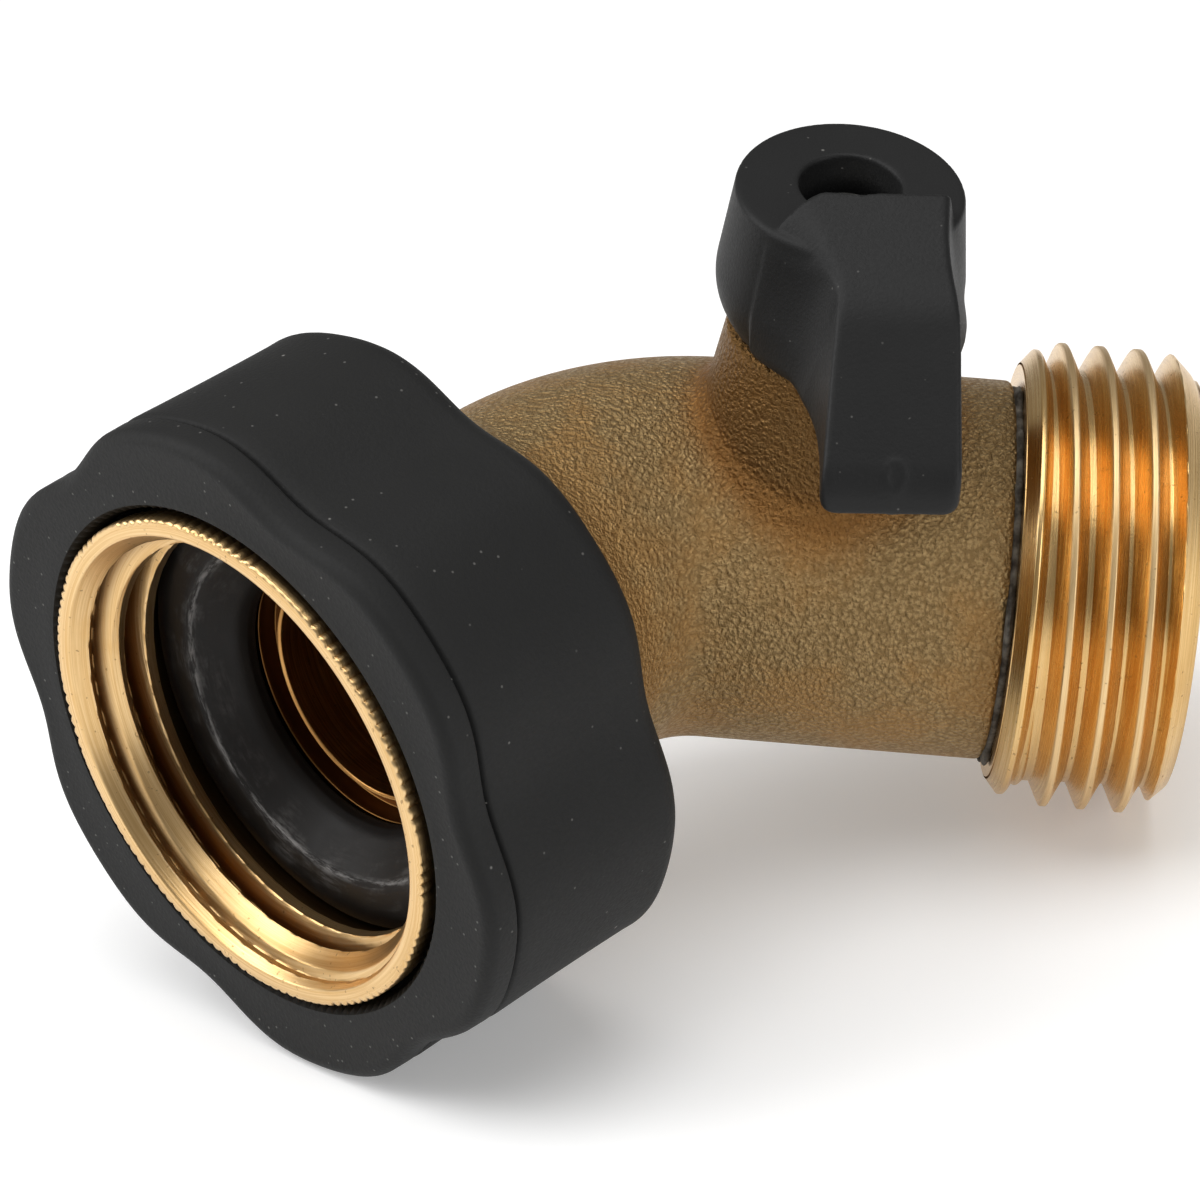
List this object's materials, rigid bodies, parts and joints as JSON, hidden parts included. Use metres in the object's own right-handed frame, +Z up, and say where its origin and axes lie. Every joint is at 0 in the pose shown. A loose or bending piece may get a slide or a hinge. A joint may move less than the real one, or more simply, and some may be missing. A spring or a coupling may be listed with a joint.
{
  "type": "hose shut-off elbow",
  "caption": "Angled brass garden-hose shut-off: swivelling female inlet in a rubber grip, ball valve with thumb lever, male threaded outlet.",
  "frame": {"origin": "on the table, under the middle of the part's bounding box", "axes": "+Z up as the part lies on its grip and outlet thread; -X along the inlet axis, out of the inlet mouth"},
  "size_m": [0.0608, 0.0512, 0.0444],
  "materials": {
    "cast_brass": "sand-blasted brass casting, fine pebbled grain, darker in its creases",
    "turned_brass": "bright turned brass with fine turning lines",
    "chromed_ball": "polished plating",
    "zinc_steel": "zinc plated",
    "grip_rubber": "matt soft-touch rubber with fine specks of dust",
    "seal_rubber": "satin black rubber, whitish wear on the sealing face",
    "lever_plastic": "matt moulded nylon with a faint gate mark",
    "seat_plastic": "white low-friction seat plastic",
    "sealant": "dried grey-white thread sealant"
  },
  "bodies": {
    "valve": {"valve_body": "cast_brass", "outlet_adapter": "turned_brass", "thread_sealant": "sealant", "inlet_seat": "seat_plastic", "outlet_seat": "seat_plastic", "tailpiece": "turned_brass", "tailpiece_o_ring": "seal_rubber"},
    "lever_group": {"lever": "lever_plastic", "lever_screw": "zinc_steel", "lock_washer": "zinc_steel", "stem": "turned_brass", "stem_thrust_washer": "seat_plastic", "stem_o_ring_lower": "seal_rubber", "stem_o_ring_upper": "seal_rubber"},
    "ball_group": {"ball": "chromed_ball"},
    "coupling": {"swivel_nut": "turned_brass", "grip_sleeve": "grip_rubber", "hose_washer": "seal_rubber"}
  },
  "joints": [
    {"name": "lever_turn", "type": "hinge", "parent": "valve", "child": "lever_group", "pos_m": [0.00693, -0.00161, 0.0175], "axis": [0, -0.2877, 0.9577], "range_deg": [-6, 84]},
    {"name": "ball_turn", "type": "hinge", "parent": "valve", "child": "ball_group", "pos_m": [0.00693, -0.00161, 0.0175], "axis": [0, -0.2877, 0.9577], "range_deg": [-6, 84]},
    {"name": "nut_spin", "type": "hinge", "parent": "valve", "child": "coupling", "pos_m": [-0.00047, 0.00626, 0.01987], "axis": [-1, 0, 0], "continuous": true}
  ],
  "couplings": [
    {"joint": "ball_turn", "follows": "lever_turn", "ratio": 1}
  ]
}
